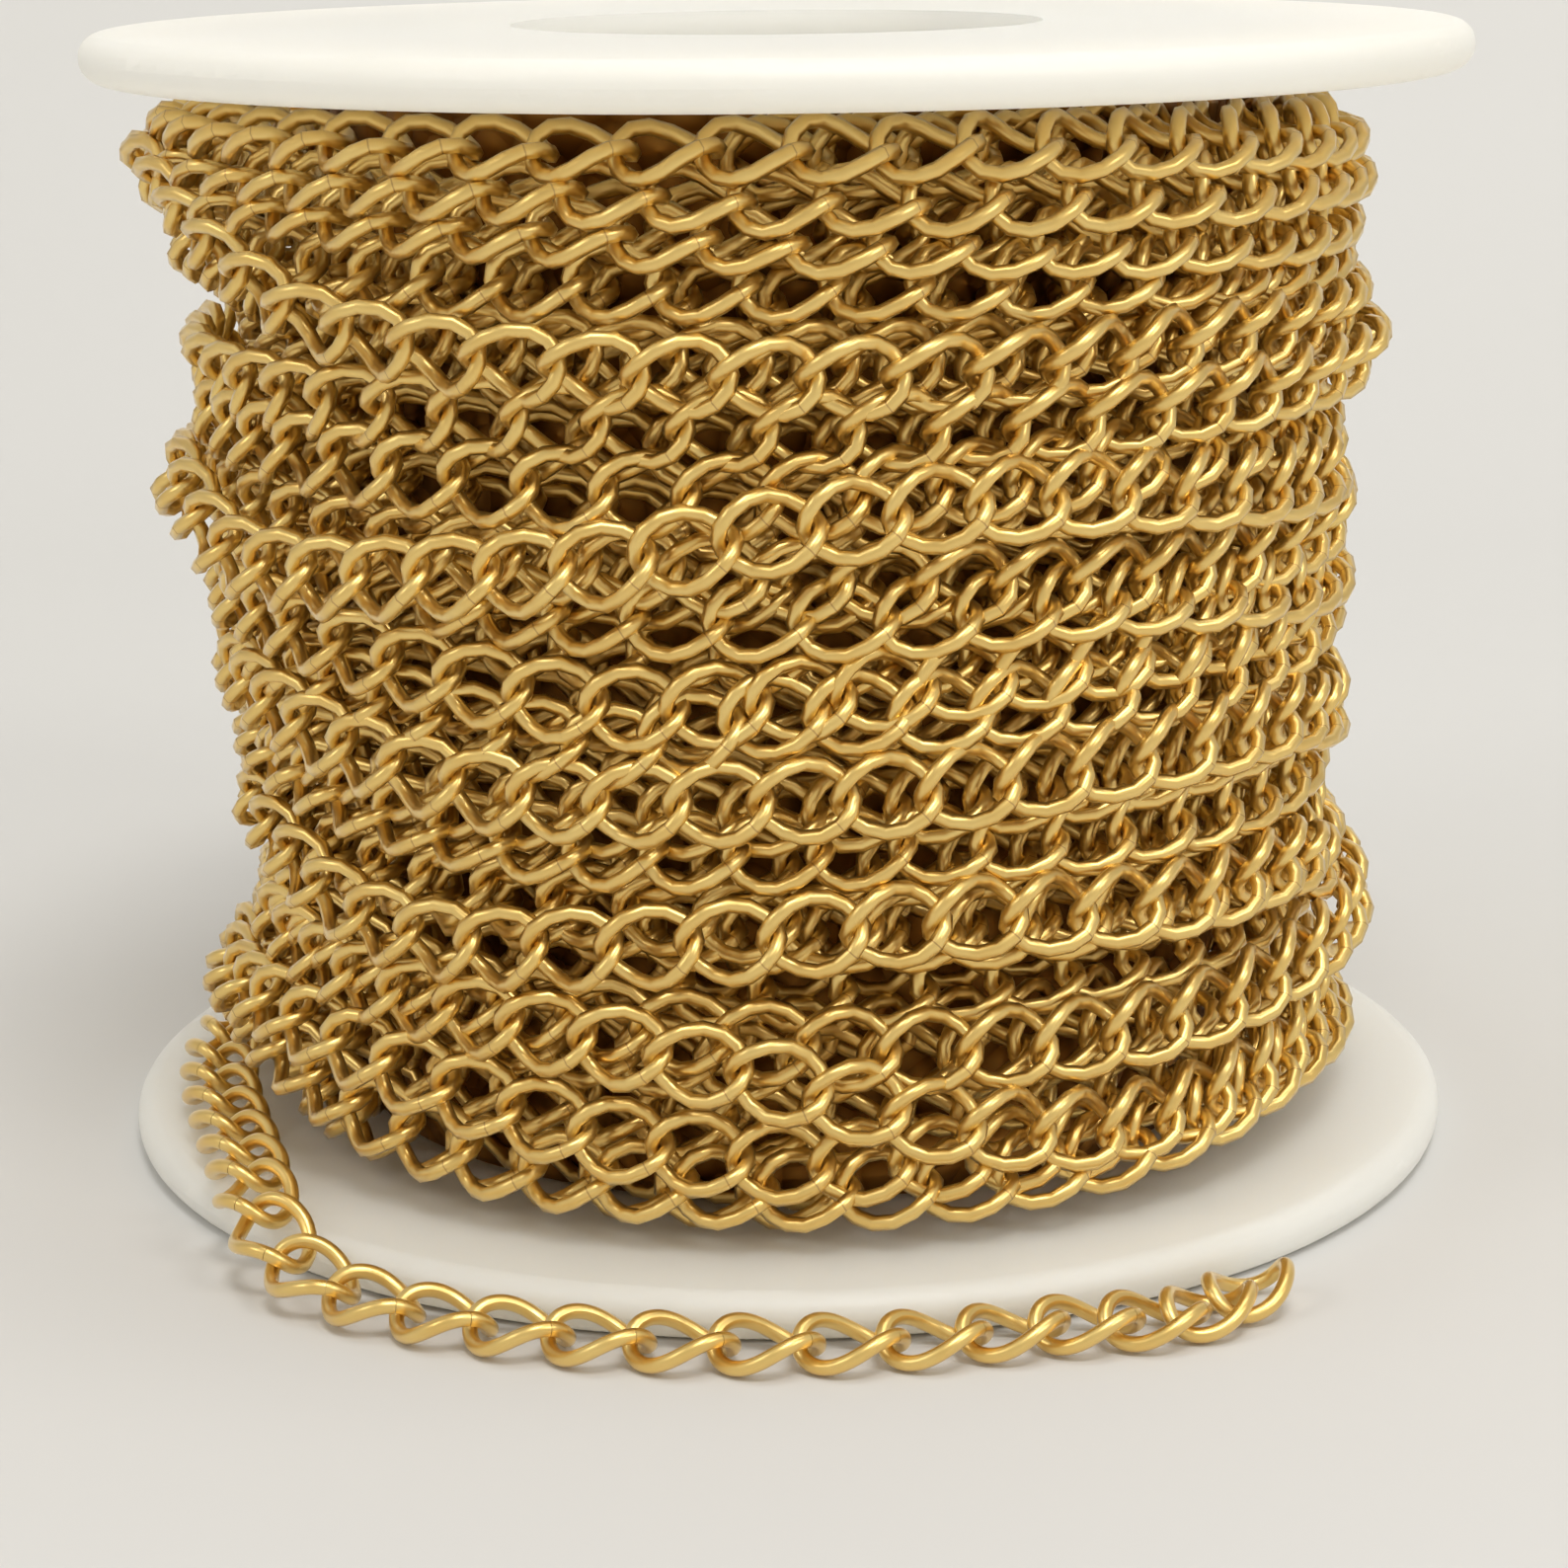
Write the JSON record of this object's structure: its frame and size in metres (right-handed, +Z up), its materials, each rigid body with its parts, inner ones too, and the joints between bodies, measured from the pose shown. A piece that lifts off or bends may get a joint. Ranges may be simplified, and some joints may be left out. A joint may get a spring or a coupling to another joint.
{
  "type": "curb chain on a spool",
  "caption": "Twisted curb chain in satin gold wound on a plain white flanged plastic spool that stands on end, with the chain's free end lying round the foot.",
  "frame": {"origin": "on the spool's axis, at the face that it stands on", "axes": "+Z up along the spool's axis, -Y towards the front, where the free end lies"},
  "size_m": [0.07, 0.0743, 0.0575],
  "materials": {
    "spool": "moulded, milky white",
    "chain": "satin gold plate"
  },
  "bodies": {
    "root": {"drum": "spool", "lower_flange": "spool", "tail_link_01": "chain", "tail_link_02": "chain", "tail_link_03": "chain", "tail_link_04": "chain", "tail_link_05": "chain", "tail_link_06": "chain", "tail_link_07": "chain", "tail_link_08": "chain", "tail_link_09": "chain", "tail_link_10": "chain", "tail_link_11": "chain", "tail_link_12": "chain", "tail_link_13": "chain", "tail_link_14": "chain", "tail_link_15": "chain", "tail_link_16": "chain", "tail_link_17": "chain", "tail_link_18": "chain", "tail_link_19": "chain", "tail_link_20": "chain", "tail_link_21": "chain", "tail_link_22": "chain", "tail_link_23": "chain", "tail_link_24": "chain", "tail_link_25": "chain", "upper_flange": "spool", "wound_chain": "chain"}
  },
  "joints": []
}
